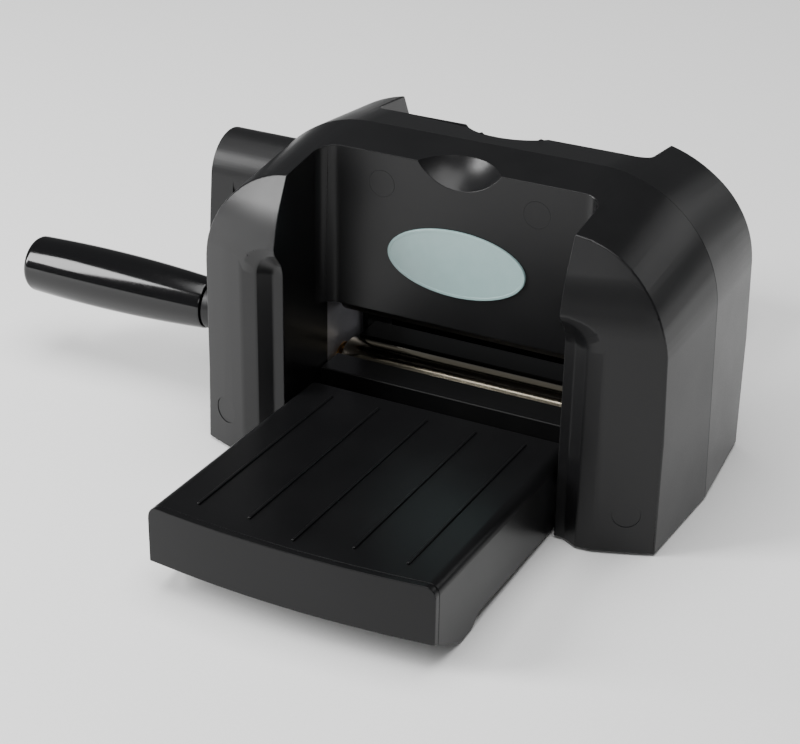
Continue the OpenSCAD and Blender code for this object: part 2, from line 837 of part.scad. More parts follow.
front_shell();
rear_shell();
base_cover();
rubber_feet();
foot_screws();
left_side_plate();
right_side_plate();
upper_tie_rods();
lower_tie_bars();
tie_screws();
front_bed();
rear_bed();
roller_bushes();
crank_bushes();
gearbox_plate();
gearbox_spacers();
gearbox_screws();
upper_roller();
upper_roller_clips();
drive_gear();
upper_sync_gear();
lower_roller();
lower_roller_clips();
lower_sync_gear();
crank_shaft();
crank_pinion();
crank_arm();
arm_screw();
hub_cap();
grip_bolt();
grip();
grip_cap();
front_hinge_rod();
rear_hinge_rod();
hinge_clips();
front_tray_deck();
front_tray_cover();
rear_tray_deck();
rear_tray_cover();
badge();
shell_screws();
screw_plugs();
base_screws();
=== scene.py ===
# %% [markdown]
# # A tabletop die cutting machine
# The machine presses a sandwich of cutting plates, paper and a steel die between two rollers. A black
# two-part case stands over a steel frame. A crank on the left turns the rollers, and a tray at the
# front and one at the back fold up over the case.
#
# The frame comes first: it brings in the engineered parts, in place and in metres. What shows is then
# modelled around it, piece by piece, as one would by hand.

# %% Load the engineered frame
import json
import math

import bmesh
import bpy
from mathutils import Matrix, Vector

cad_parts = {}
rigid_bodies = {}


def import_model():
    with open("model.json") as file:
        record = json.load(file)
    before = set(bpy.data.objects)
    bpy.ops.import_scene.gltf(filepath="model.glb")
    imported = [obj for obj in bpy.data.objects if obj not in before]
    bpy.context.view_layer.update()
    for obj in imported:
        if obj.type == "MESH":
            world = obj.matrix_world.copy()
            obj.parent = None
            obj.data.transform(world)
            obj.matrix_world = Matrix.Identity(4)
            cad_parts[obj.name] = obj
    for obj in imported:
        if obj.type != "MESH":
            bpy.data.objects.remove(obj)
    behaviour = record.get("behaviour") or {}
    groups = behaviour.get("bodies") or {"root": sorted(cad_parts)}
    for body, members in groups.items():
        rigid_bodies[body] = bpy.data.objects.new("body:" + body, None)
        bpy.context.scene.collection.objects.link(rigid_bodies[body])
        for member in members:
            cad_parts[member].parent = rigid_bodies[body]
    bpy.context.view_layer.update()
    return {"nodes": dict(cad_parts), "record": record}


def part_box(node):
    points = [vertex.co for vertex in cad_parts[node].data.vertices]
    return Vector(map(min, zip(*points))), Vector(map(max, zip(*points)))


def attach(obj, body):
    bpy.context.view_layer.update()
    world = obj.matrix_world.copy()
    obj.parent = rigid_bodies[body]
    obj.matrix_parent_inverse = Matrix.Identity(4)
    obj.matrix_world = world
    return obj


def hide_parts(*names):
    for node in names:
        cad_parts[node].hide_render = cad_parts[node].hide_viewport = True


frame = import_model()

# %% [markdown]
# ## The camera
# A camera is placed by what it looks at, how far away it stands, and three angles. It stands to the
# right of the machine and looks down on it. A long lens keeps the case's edges nearly parallel.

# %% Place the camera
MM = 0.001


def aim_camera(target, distance, yaw, pitch, roll, lens):
    """A camera that looks at target (mm) from the right of the front, from above, with a slight roll."""
    yaw, pitch, roll = (math.radians(a) for a in (yaw, pitch, roll))
    back = Vector((math.sin(yaw) * math.cos(pitch), -math.cos(yaw) * math.cos(pitch), math.sin(pitch)))
    right = Vector((math.cos(yaw), math.sin(yaw), 0))
    up = back.cross(right)
    right, up = (right * math.cos(roll) + up * math.sin(roll),
                 up * math.cos(roll) - right * math.sin(roll))
    data = bpy.data.cameras.new("camera")
    data.lens = lens
    data.sensor_width = 36
    data.clip_start = 0.01
    camera = bpy.data.objects.new("camera", data)
    bpy.context.scene.collection.objects.link(camera)
    turn = Matrix((right, up, back)).transposed()
    camera.matrix_world = Matrix.Translation((Vector(target) + back * distance) * MM) @ turn.to_4x4()
    bpy.context.scene.camera = camera
    return camera


camera = aim_camera(target=(-4.0, -62.6, 60.4), distance=775.1,
                    yaw=26.17, pitch=27.51, roll=0.95, lens=91.04)
print("camera at", [round(v, 4) for v in camera.location])

# %% [markdown]
# ## Helpers for modelling by hand
# Every new piece starts as a primitive, and is then shaped in edit mode. Pieces are modelled at one
# unit to the millimetre, which keeps the numbers readable, and are brought to metres at the end.
# An operator works on whatever is selected, so everything is deselected first, and what it should
# touch is then picked by its place or by the way it faces.

# %% Add, pick and finish
def start(add, name, **how):
    """Add one primitive with nothing else selected, and put its place into its mesh."""
    bpy.ops.object.select_all(action="DESELECT")
    add(**how)
    piece = bpy.context.object
    piece.name = name
    bpy.ops.object.transform_apply(location=True, rotation=True, scale=True)
    return piece


def activate(piece):
    bpy.ops.object.select_all(action="DESELECT")
    piece.select_set(True)
    bpy.context.view_layer.objects.active = piece


def edit(piece):
    """Go into edit mode on this piece, with everything selected."""
    activate(piece)
    bpy.ops.object.mode_set(mode="EDIT")
    bpy.ops.mesh.select_all(action="SELECT")


def done():
    bpy.ops.object.mode_set(mode="OBJECT")


def pick(piece, kind, test):
    """In edit mode, select the items that pass test(middle, direction).

    The direction is a face's or a point's normal, or the way an edge runs.
    """
    bpy.ops.mesh.select_mode(type=kind)
    bpy.ops.mesh.select_all(action="DESELECT")
    mesh = bmesh.from_edit_mesh(piece.data)
    mesh.normal_update()
    count = 0
    for item in {"VERT": mesh.verts, "EDGE": mesh.edges, "FACE": mesh.faces}[kind]:
        if kind == "VERT":
            middle, direction = item.co, item.normal
        elif kind == "EDGE":
            a, b = item.verts[0].co, item.verts[1].co
            middle, direction = (a + b) / 2, (b - a).normalized()
        else:
            middle, direction = item.calc_center_median(), item.normal
        if test(middle, direction):
            item.select_set(True)
            count += 1
    mesh.select_flush_mode()
    bmesh.update_edit_mesh(piece.data)
    return count


def box(name, x, y, z):
    """A block between two values of x, y and z."""
    size = [high - low for low, high in (x, y, z)]
    middle = [(high + low) / 2 for low, high in (x, y, z)]
    return start(bpy.ops.mesh.primitive_cube_add, name, size=1, location=middle, scale=size)


def rod(name, axis, low, high, at, radius, points=64):
    """A cylinder along "x", "y" or "z", between two values; at gives its other two coordinates."""
    middle = list(at)
    middle.insert("xyz".index(axis), (low + high) / 2)
    turn = {"x": (0, math.pi / 2, 0), "y": (math.pi / 2, 0, 0), "z": (0, 0, 0)}[axis]
    return start(bpy.ops.mesh.primitive_cylinder_add, name, vertices=points, radius=radius,
                 depth=high - low, location=middle, rotation=turn)


def outline(name, points, place):
    """A flat face: a circle of as many points, each pulled to its place by place(u, v)."""
    piece = start(bpy.ops.mesh.primitive_circle_add, name, vertices=len(points), radius=1,
                  fill_type="NGON")
    for vertex, (u, v) in zip(piece.data.vertices, points):
        vertex.co = place(u, v)
    return piece


def prism(name, points, place, along):
    """An outline extruded by the vector along."""
    piece = outline(name, points, place)
    edit(piece)
    bpy.ops.mesh.extrude_region_move(TRANSFORM_OT_translate={"value": along})
    bpy.ops.mesh.select_all(action="SELECT")
    bpy.ops.mesh.normals_make_consistent(inside=False)
    done()
    return piece


def apply_modifier(piece, kind, **settings):
    activate(piece)
    modifier = piece.modifiers.new(kind.lower(), kind)
    for name, value in settings.items():
        setattr(modifier, name, value)
    bpy.ops.object.modifier_apply(modifier=modifier.name)


def combine(piece, tools, operation):
    """Cut tools out of a piece, add them, or keep what they share. The tools are used up."""
    for tool in tools:
        apply_modifier(piece, "BOOLEAN", operation=operation, object=tool, solver="EXACT")
        bpy.data.objects.remove(tool)
    return piece


def copy(piece, name, mirror=None):
    """A copy with its own mesh, mirrored in "x" or "y" if asked."""
    twin = piece.copy()
    twin.data = piece.data.copy()
    twin.name = name
    bpy.context.scene.collection.objects.link(twin)
    if mirror:
        twin.data.transform(Matrix.Scale(-1, 4, Vector([axis == mirror for axis in "xyz"])))
        twin.data.flip_normals()
    return twin


def join(pieces):
    activate(pieces[0])
    for piece in pieces[1:]:
        piece.select_set(True)
    bpy.ops.object.join()
    return pieces[0]


def soften(piece, width, segments=2, sharp=35, near=0.02, clamp=True, weigh=lambda middle: 1.0):
    """Round the edges that are sharper than an angle. weigh gives each edge a share of the width."""
    edit(piece)
    bpy.ops.mesh.remove_doubles(threshold=near)
    bpy.ops.mesh.dissolve_degenerate(threshold=near)
    done()
    mesh = bmesh.new()
    mesh.from_mesh(piece.data)
    weight = mesh.edges.layers.float.get("bevel_weight_edge") or \
        mesh.edges.layers.float.new("bevel_weight_edge")
    for edge in mesh.edges:
        if len(edge.link_faces) == 2 and edge.calc_face_angle(0) > math.radians(sharp):
            edge[weight] = weigh((edge.verts[0].co + edge.verts[1].co) / 2)
    mesh.to_mesh(piece.data)
    mesh.free()
    apply_modifier(piece, "BEVEL", width=width, segments=segments, limit_method="WEIGHT",
                   use_clamp_overlap=clamp, miter_outer="MITER_ARC")


def to_metres(piece, smooth=32):
    """Smooth a finished piece, bring it from millimetres to metres and say what it is.

    Weighted normals keep the large faces flat, so only the rounded edges turn the light.
    """
    activate(piece)
    bpy.ops.object.shade_smooth_by_angle(angle=math.radians(smooth))
    apply_modifier(piece, "WEIGHTED_NORMAL", keep_sharp=True, weight=70)
    size = [round(v, 1) for v in piece.dimensions]
    piece.data.transform(Matrix.Scale(MM, 4))
    mesh = bmesh.new()
    mesh.from_mesh(piece.data)
    open_edges = sum(not edge.is_manifold for edge in mesh.edges)
    faces, volume = len(mesh.faces), mesh.calc_volume(signed=True) / MM ** 3
    mesh.free()
    print(f"{piece.name}: {faces} faces, {open_edges} open edges, {volume:.0f} mm3, size {size} mm")
    return piece


# %% [markdown]
# ## The case
# Each half of the case is one ABS moulding. Its cross-section is an arch: sides that lean in a
# little, and round shoulders up to a flat top. It gets smaller from the middle seam to the front.
# A loft between two cross-sections gives that, and bridging two outlines is how a loft is made here.

# %% Loft the arch
FOOT_HALF, SHOULDER_HALF, TOP, CORNER = 102.3, 99.9, 133.5, 50.0     # cross-section at the seam
EDGE_DEPTH = 49.4                                                    # from the seam to the front crease
FRONT = dict(foot=99.0, shoulder=98.0, top=127.3, corner=46.0)       # cross-section at that crease
LIFT = 1.0                                                           # gap under the case
LOFT_DEPTH = 80.0


def arch(y, foot, shoulder, top, corner, inset=0.0, points=24):
    """One cross-section: a four-sided face with its two upper corners rounded."""
    foot, shoulder, top, corner = foot - inset, shoulder - inset, top - inset, corner - inset
    slope = (foot - shoulder) / (top - corner - LIFT)
    top_half = foot - slope * (top - LIFT)
    piece = outline("arch", [(-foot, LIFT), (foot, LIFT), (top_half, top), (-top_half, top)],
                    lambda x, z: (x, y, z))
    tangent = corner / math.tan((math.pi / 2 + math.atan(slope)) / 2)
    edit(piece)
    pick(piece, "VERT", lambda p, n: p.z > top - 1)
    bpy.ops.mesh.bevel(offset=tangent, segments=points, profile=0.5, affect="VERTICES")
    done()
    return piece


def arch_loft(inset):
    """The arch from the seam forwards, past the front crease, drawn in by inset."""
    run = LOFT_DEPTH / EDGE_DEPTH
    ahead = {name: seam + (FRONT[name] - seam) * run
             for name, seam in dict(foot=FOOT_HALF, shoulder=SHOULDER_HALF, top=TOP,
                                    corner=CORNER).items()}
    seam_y = 0.0 if inset == 0 else 1.0
    seam = arch(seam_y, FOOT_HALF, SHOULDER_HALF, TOP, CORNER, inset)
    front = arch(-LOFT_DEPTH, inset=inset, **ahead)
    loft = join([seam, front])
    edit(loft)
    bpy.ops.mesh.delete(type="ONLY_FACE")
    bpy.ops.mesh.select_mode(type="EDGE")
    bpy.ops.mesh.select_all(action="SELECT")
    bpy.ops.mesh.bridge_edge_loops()
    bpy.ops.mesh.select_all(action="SELECT")
    bpy.ops.mesh.fill_holes(sides=0)
    bpy.ops.mesh.normals_make_consistent(inside=False)
    done()
    return loft


# %% [markdown]
# The fronts of the two uprights are parts of one wide bow, seen from above, and they lean back near
# the top. A side view of that front, spun about the middle of the bow, gives both. What the loft and
# the spun body share is the outside of the case.

# %% Spin the bowed front and cut the loft with it
BOW_R = 250.0
BOW_APEX = EDGE_DEPTH + BOW_R - math.sqrt(BOW_R ** 2 - FRONT["foot"] ** 2)
KNEE_Z = 103.5                          # where the front starts to lean back
LEAN = 0.5                              # millimetres back for each millimetre up
SWEEP = math.radians(66)


def bow_y(x):
    """The front face's y at a given x."""
    return BOW_R - BOW_APEX - math.sqrt(BOW_R ** 2 - x * x)


def bowed_front(inset):
    top = 160.0
    front, radius = -BOW_APEX + inset, BOW_R - inset
    points = [(6, -5), (front, -5), (front, KNEE_Z - inset / 2),
              (front + LEAN * (top - KNEE_Z + inset / 2), top), (6, top)]
    middle = (0, BOW_R - BOW_APEX, 0)
    piece = outline("bow", points, lambda y, z: (0, y, z))
    edit(piece)
    pick(piece, "VERT", lambda p, n: abs(p.y - front) < 0.1 and p.z > 50)
    bpy.ops.mesh.bevel(offset=13, segments=8, profile=0.5, affect="VERTICES")
    bpy.ops.mesh.select_all(action="SELECT")
    bpy.ops.transform.rotate(value=SWEEP / 2, orient_axis="Z", center_override=middle)
    bpy.ops.mesh.select_mode(type="FACE")
    bpy.ops.mesh.select_all(action="SELECT")
    bpy.ops.mesh.spin(steps=54, angle=-SWEEP, center=middle, axis=(0, 0, 1))
    bpy.ops.mesh.select_all(action="SELECT")
    bpy.ops.mesh.remove_doubles(threshold=0.001)
    bpy.ops.mesh.normals_make_consistent(inside=False)
    done()
    low = min(v.co.x for v in piece.data.vertices)
    high = max(v.co.x for v in piece.data.vertices)
    print(f"bow from x {low:.1f} to {high:.1f} mm, apex {front:.1f}")
    return piece


def case_block(inset):
    return combine(arch_loft(inset), [bowed_front(inset)], "INTERSECT")


# %% [markdown]
# Between the uprights lies a recess for the folded tray, with an upright panel at its back. Each
# upright has a cove along its inner edge: a ledge, then a slope up to the face. The cove's top turns
# a quarter circle, so its profile is extruded upwards and then spun. A profile along a bowed face
# would come out of it, so the points are moved back by the bow afterwards.

# %% Tools that cut the recess, the coves and the scoop
THROAT = 59.5                           # half the width between the uprights
WALL, INNER_WALL = 3.0, 2.5
PANEL_Y, PANEL_Z = 22.5, 62.0
FAR = 200.0
WINDOW = 18.0                           # half the depth of the gap that shows a side plate
COVE_TURN_Z = 85.0
SCOOP_R, SCOOP_AT = 24.5, Vector((0, -PANEL_Y - 11.9, TOP + 9.2))
# Distance from the inner wall, and depth under the face
COVE = [(-1, 8.1), (0, 7.8), (4.3, 6.46), (5.0, 5.9), (10.0, 1.75), (10.6, 1.35), (16.4, 0), (17.2, -0.3),
        (17.2, -30), (-1, -30)]


def cove_tool():
    piece = outline("cove", COVE, lambda across, depth: (THROAT + across, depth, -5))
    edit(piece)
    bpy.ops.mesh.extrude_region_move(TRANSFORM_OT_translate={"value": (0, 0, COVE_TURN_Z + 5)})
    bpy.ops.mesh.spin(steps=20, angle=math.radians(100), center=(THROAT + COVE[0][0], 0, COVE_TURN_Z),
                      axis=(0, 1, 0))
    bpy.ops.mesh.select_all(action="SELECT")
    bpy.ops.mesh.remove_doubles(threshold=0.001)
    bpy.ops.mesh.normals_make_consistent(inside=False)
    done()
    for vertex in piece.data.vertices:
        vertex.co.y += bow_y(min(abs(vertex.co.x), 90))
    high = max(v.co.z for v in piece.data.vertices)
    print(f"cove tool reaches z {high:.1f} mm")
    return piece


def recess_tools():
    """The recess above the panel's lower edge, with round corners at its back, and all below it."""
    above = box("above", (-THROAT, THROAT), (-FAR, -PANEL_Y), (PANEL_Z - 0.01, FAR))
    edit(above)
    pick(above, "EDGE", lambda p, d: abs(d.z) > 0.9 and p.y > -PANEL_Y - 1)
    bpy.ops.mesh.bevel(offset=8, segments=10, profile=0.5, affect="EDGES")
    done()
    below = box("below", (-THROAT, THROAT), (-FAR, 2), (-5, PANEL_Z))
    window = box("window", (-THROAT - INNER_WALL - 1, THROAT + INNER_WALL + 1), (-WINDOW, 2),
                 (-5, PANEL_Z))
    return [above, below, window]


def scoop_tool(grow=0.0):
    return start(bpy.ops.mesh.primitive_ico_sphere_add, "scoop", subdivisions=5,
                 radius=SCOOP_R + grow, location=SCOOP_AT)


# %% [markdown]
# The case is hollow: a chamber in each housing, for the gears on the left, and one behind the panel.
# The hollow is the same block drawn in by the wall, less what has to stay: the linings of the coves
# and the scoop, the screw bosses and the posts over the feet.

# %% Hollow out one half
PANEL_SCREW = (33.0, 118.0)
FOOT_SCREW = (88.0, 18.0)
FOOT_AT = (84.0, 36.0)
WELL_R = 5.54
BASE_TOP = 4.6


def hollow():
    rooms = [box("left", (-FAR, -THROAT - INNER_WALL), (-FAR, 1), (-5, FAR)),
             box("right", (THROAT + INNER_WALL, FAR), (-FAR, 1), (-5, FAR)),
             box("between", (-THROAT - 4, THROAT + 4), (-WINDOW, 0.9), (-6, FAR - 1)),
             box("middle", (-THROAT, THROAT), (-PANEL_Y + INNER_WALL, 0.8), (-7, FAR - 2))]
    body = combine(rooms[0], rooms[1:], "UNION")
    body = combine(body, [case_block(WALL)], "INTERSECT")
    keep = [scoop_tool(INNER_WALL)]
    for side in (-1, 1):
        inner, outer = sorted((side * (THROAT - 1), side * (THROAT + 18)))
        keep.append(box("lining", (inner, outer), (-FAR, bow_y(THROAT) + 10.5), (-6, COVE_TURN_Z + 19)))
        keep.append(rod("boss", "y", -60, 4, (side * PANEL_SCREW[0], PANEL_SCREW[1]), 5, 32))
        keep.append(rod("boss", "y", -60, 4, (side * FOOT_SCREW[0], FOOT_SCREW[1]), 5, 32))
        keep.append(rod("post", "z", BASE_TOP, 30, (side * FOOT_AT[0], -FOOT_AT[1]), 4, 32))
    return combine(body, keep, "DIFFERENCE")


# %% [markdown]
# Then the tools are used one after the other. The front and the back halves are alike, so one half
# is made and mirrored. Moulded edges are never knife sharp: a bevel of less than a millimetre is
# what catches the light along the crease and the panel. The seam gets a smaller one.

# %% Cut one half, mirror it and round its edges
HUB_Z, HUB_HOLE = 102.0, 16.9


def case_half():
    half = case_block(0.0)
    combine(half, [hollow()], "DIFFERENCE")
    combine(half, recess_tools() + [scoop_tool()], "DIFFERENCE")
    right = cove_tool()
    combine(half, [copy(right, "cove_left", mirror="x"), right], "DIFFERENCE")
    combine(half, [rod("hub_hole", "x", -FAR, -65.2, (0, HUB_Z), HUB_HOLE, 96)], "DIFFERENCE")
    fall = (TOP - FRONT["top"]) / EDGE_DEPTH
    edit(half)
    pick(half, "VERT", lambda p, n: abs((p - SCOOP_AT).length - SCOOP_R) < 0.2
         and p.z < TOP - fall * abs(p.y) - 0.3)
    bpy.ops.mesh.remove_doubles(threshold=0.35)
    done()
    return half


def plug_wells():
    """Shallow wells for the discs that hide the case screws."""
    tools = []
    for side in (-1, 1):
        tools.append(rod("well", "y", -PANEL_Y - 3, -PANEL_Y + 1.5,
                         (side * PANEL_SCREW[0], PANEL_SCREW[1]), WELL_R, 96))
        x = FOOT_SCREW[0]
        well = rod("well", "y", -3, 2.2, (0, 0), WELL_R, 96)
        well.data.transform(Matrix.Translation((side * x, bow_y(x), FOOT_SCREW[1])) @
                            Matrix.Rotation(side * math.asin(x / BOW_R), 4, "Z"))
        tools.append(well)
    return tools


def crease_weight(middle):
    """The seam, the scoop and the small rims get a finer edge than the creases."""
    if (middle - SCOOP_AT).length < SCOOP_R + 0.1:
        return 0.35 if abs(abs(middle.y) - PANEL_Y) < 0.1 else 0.0
    if any(math.hypot(abs(middle.x) - x, middle.z - z) < WELL_R + 0.3 for x, z in (PANEL_SCREW, FOOT_SCREW)):
        return 0.1
    if abs(abs(middle.y) - PANEL_Y) < 0.1 and middle.z > TOP - 6:
        return 0.6
    return 0.45 if abs(middle.y) < 0.05 else 1.0


case_rear = copy(case_half(), "case_rear", mirror="y")
case_front = copy(case_rear, "case_front", mirror="y")
for leftover in [o for o in bpy.data.objects if o.name.startswith("arch")]:
    bpy.data.objects.remove(leftover)
combine(case_front, plug_wells(), "DIFFERENCE")
for half, node in ((case_front, "front_shell"), (case_rear, "rear_shell")):
    soften(half, 0.6, segments=2, sharp=14.5, near=0.08, clamp=False, weigh=crease_weight)
    to_metres(half)
    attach(half, "frame")
    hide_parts(node)

# %% [markdown]
# ## The trays
# A tray is two ABS mouldings: a deck with five guide ribs, and a cover that makes the bowed end
# face, the foot and the underside. Both are cut from one body, so that they meet in an even
# parting line. The body is a side view extruded across, with its long upper edges rounded, and cut
# by a large cylinder for the bow of the end.

# %% Measures of a tray
TRAY_HALF, TRAY_IN, TRAY_Z = 58.0, 37.8, 32.0
TRAY_CORNER, LIP_BOW = 158.15, 4.0
LIP_R = (TRAY_HALF ** 2 + LIP_BOW ** 2) / (2 * LIP_BOW)
TRAY_WALL, END_PLATE = 2.5, 3.0
TILT = math.tan(math.radians(2.3))


def tray_top(y):
    return TRAY_Z + (-y - TRAY_IN) * TILT


def side_view(inset, far=-TRAY_CORNER - 2 * LIP_BOW):
    """The tray's outline from the side, drawn in by inset: top, inner end, underside, foot, end."""
    return [(-TRAY_IN - inset, tray_top(-TRAY_IN) - inset), (-TRAY_IN - inset, 16),
            (-TRAY_IN - inset - 1, 7), (-TRAY_IN - inset - 6, 1.8 + inset), (-52.4, 1.8 + inset),
            (-111, 4.2 + inset), (-119.5, 4.5 + inset), (-123, 3.2 + inset), (-126, 0.9 + inset),
            (-134, 0.6 + inset), (-137, 1.2 + inset), (-TRAY_CORNER + inset, 13.0 + inset), (far, 13.0 + inset),
            (far, tray_top(-TRAY_CORNER) - inset)]


def tray_body():
    body = prism("tray_body", side_view(0), lambda y, z: (-TRAY_HALF, y, z), (2 * TRAY_HALF, 0, 0))
    edit(body)
    pick(body, "EDGE", lambda p, d: abs(d.y) > 0.9 and abs(p.x) > TRAY_HALF - 1 and p.z > 31)
    bpy.ops.mesh.bevel(offset=4.5, segments=8, profile=0.5, affect="EDGES")
    done()
    return body


def bow_cylinder(radius):
    """A slice of the large upright cylinder that gives the end of a tray its bow."""
    return rod("bow", "z", -20, 60, (0, -TRAY_CORNER - LIP_BOW + LIP_R), radius, 320)


# %% [markdown]
# The ribs are thin ridges with rounded ends that guide the plates. One is modelled and copied. The
# middle one runs further forward than the others.

# %% Model one tray, and mirror it for the back
RIB_PITCH, RIB_WIDTH, RIB_HEIGHT = 21.2, 1.3, 0.5


def rib(x, near, far):
    ridge = box("rib", (x - RIB_WIDTH / 2, x + RIB_WIDTH / 2), (far, near), (-0.6, RIB_HEIGHT))
    edit(ridge)
    pick(ridge, "EDGE", lambda p, d: p.z > RIB_HEIGHT - 0.01 or abs(d.z) > 0.9)
    bpy.ops.mesh.bevel(offset=0.45, segments=4, profile=0.5, affect="EDGES")
    done()
    for vertex in ridge.data.vertices:
        vertex.co.z += tray_top(vertex.co.y)
    return ridge


def front_tray():
    ends = [bow_cylinder(LIP_R - END_PLATE + gap) for gap in (0.0, -0.05)]
    whole = combine(tray_body(), [bow_cylinder(LIP_R)], "INTERSECT")
    underside = combine(prism("underside", side_view(0), lambda y, z: (-TRAY_HALF, y, z),
                              (2 * TRAY_HALF, 0, 0)),
                        [prism("within", side_view(TRAY_WALL), lambda y, z: (-FAR, y, z), (2 * FAR, 0, 0)),
                         box("sides", (-FAR, FAR), (-FAR, 0), (13.1, 60))], "DIFFERENCE")
    hollow_width = TRAY_HALF - TRAY_WALL
    combine(underside, [box("inside", (-hollow_width + 0.1, hollow_width - 0.1), (-FAR, -45.8), (-5, 60)),
                        bow_cylinder(LIP_R - 0.5)], "INTERSECT")
    cover = combine(copy(whole, "front_cover"), [ends[0]], "DIFFERENCE")
    combine(cover, [underside], "UNION")
    deck = combine(whole, [ends[1]], "INTERSECT")
    under_top = [(-TRAY_IN - TRAY_WALL, tray_top(-TRAY_IN - TRAY_WALL) - TRAY_WALL),
                 (-TRAY_IN - TRAY_WALL, -5), (-FAR, -5), (-FAR, tray_top(-FAR) - TRAY_WALL)]
    combine(deck, [prism("hollow", under_top, lambda y, z: (-hollow_width, y, z),
                         (2 * hollow_width, 0, 0))], "DIFFERENCE")
    deck.name = "front_deck"
    soften(deck, 0.45, near=0.08, clamp=False)
    soften(cover, 0.5, clamp=False, weigh=lambda p: 1.0 if p.z > 5 else 0.5)
    ribs = [rib(i * RIB_PITCH, -46, -154.5 if i == 0 else -148.5) for i in range(-2, 3)]
    return join([deck] + ribs), cover


front_deck, front_cover = front_tray()
rear_deck = copy(front_deck, "rear_deck", mirror="y")
rear_cover = copy(front_cover, "rear_cover", mirror="y")
for place, deck, cover in (("front", front_deck, front_cover), ("rear", rear_deck, rear_cover)):
    for piece, kind in ((deck, "deck"), (cover, "cover")):
        to_metres(piece)
        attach(piece, f"{place}_tray")
        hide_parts(f"{place}_tray_{kind}")

# %% [markdown]
# ## The beds
# In front of each roller a fixed bridge carries the plates. It is an upside-down trough: a flat top,
# a front wall that stands on the base, and ribs under the top. Its back edge stays clear of the
# lower roller.

# %% Model one bed, and mirror it for the back
BED_HALF, BED_Y, BED_IN, BED_T = 59.2, 25.0, 10.13, 3.0


def front_bed():
    view = [(-BED_Y, BASE_TOP), (-BED_Y, TRAY_Z), (-BED_IN, TRAY_Z), (-BED_IN, TRAY_Z - BED_T),
            (-BED_Y + INNER_WALL, TRAY_Z - BED_T), (-BED_Y + INNER_WALL, BASE_TOP)]
    bed = prism("bed_front", view, lambda y, z: (-BED_HALF, y, z), (2 * BED_HALF, 0, 0))
    edit(bed)
    pick(bed, "EDGE", lambda p, d: abs(d.x) > 0.9 and p.z > TRAY_Z - 0.1 and p.y < -20)
    bpy.ops.mesh.bevel(offset=0.6, segments=3, profile=0.5, affect="EDGES")
    done()
    combine(bed, [box("rib", (x - 0.8, x + 0.8), (-BED_Y + 1, -11.2), (BASE_TOP + 8, TRAY_Z - 1))
                  for x in (-40, -13, 13, 40)], "UNION")
    soften(bed, 0.35)
    return bed


bed_front = front_bed()
bed_rear = copy(bed_front, "bed_rear", mirror="y")
for bed, node in ((bed_front, "front_bed"), (bed_rear, "rear_bed")):
    to_metres(bed)
    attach(bed, "frame")
    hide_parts(node)

# %% [markdown]
# ## The rollers
# Both rollers are steel bars, turned down to a journal at each end, ground and plated. Extruding the
# end face of a cylinder and scaling it gives the shoulder and the journal, as on a lathe.

# %% Turn the rollers
ROLLER_R, JOURNAL_R, ROLLER_HALF = 10.0, 5.0, 58.0


def turned_bar(name, node, z):
    """A roller whose journals reach as far as the engineered part's do."""
    low, high = (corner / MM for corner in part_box(node))
    bar = rod(name, "x", -ROLLER_HALF, ROLLER_HALF, (0, z), ROLLER_R, 96)
    for side, end in ((-1, low.x), (1, high.x)):
        edit(bar)
        pick(bar, "FACE", lambda p, n: n.x * side > 0.9)
        bpy.ops.mesh.inset(thickness=0.9)
        bpy.ops.transform.translate(value=(side * 0.9, 0, 0))
        bpy.ops.mesh.inset(thickness=ROLLER_R - 0.9 - JOURNAL_R)
        bpy.ops.mesh.extrude_region_move(
            TRANSFORM_OT_translate={"value": (end - side * (ROLLER_HALF + 0.9) - side * 0.6, 0, 0)})
        bpy.ops.mesh.extrude_region_move(TRANSFORM_OT_translate={"value": (side * 0.6, 0, 0)})
        bpy.ops.transform.resize(value=(1, 0.9, 0.9), center_override=(end, 0, z))
        done()
    to_metres(bar)
    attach(bar, node)
    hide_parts(node)
    return bar


LOWER_Z, UPPER_Z = 24.5, 59.5
upper_bar = turned_bar("upper_bar", "upper_roller", UPPER_Z)
lower_bar = turned_bar("lower_bar", "lower_roller", LOWER_Z)

# %% [markdown]
# ## The crank
# The arm is one stiff moulding: a round hub, a web that tapers down to a round end, and a collar that
# the grip runs against. The two rounds are cut from a circle's outline, and the web joins them along
# their common tangents.

# %% Mould the arm
HUB_R, END_R, ARM_LEN, ARM_T = 16.5, 14.5, 62.9, 10.5
ARM_LEAN = math.radians(7.6)
ARM_X, COLLAR_X = 115.0, 121.0
HUB_IN = -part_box("crank_arm")[1].x / MM
GRIP_AT = (-ARM_LEN * math.sin(ARM_LEAN), HUB_Z - ARM_LEN * math.cos(ARM_LEAN))
CAP_R = 8.0


def arm_outline(shrink, points=32):
    """Both round ends and the straight sides between them, drawn in by shrink."""
    spread = math.asin((HUB_R - END_R) / ARM_LEN)
    shape = []
    for radius, drop, first in ((HUB_R, 0, -spread), (END_R, ARM_LEN, math.pi + spread)):
        half_turn = math.pi + (2 * spread if drop == 0 else -2 * spread)
        for i in range(points + 1):
            angle = first + half_turn * i / points
            u, v = (radius - shrink) * math.cos(angle), (radius - shrink) * math.sin(angle) - drop
            shape.append((u * math.cos(ARM_LEAN) + v * math.sin(ARM_LEAN),
                          v * math.cos(ARM_LEAN) - u * math.sin(ARM_LEAN) + HUB_Z))
    return shape


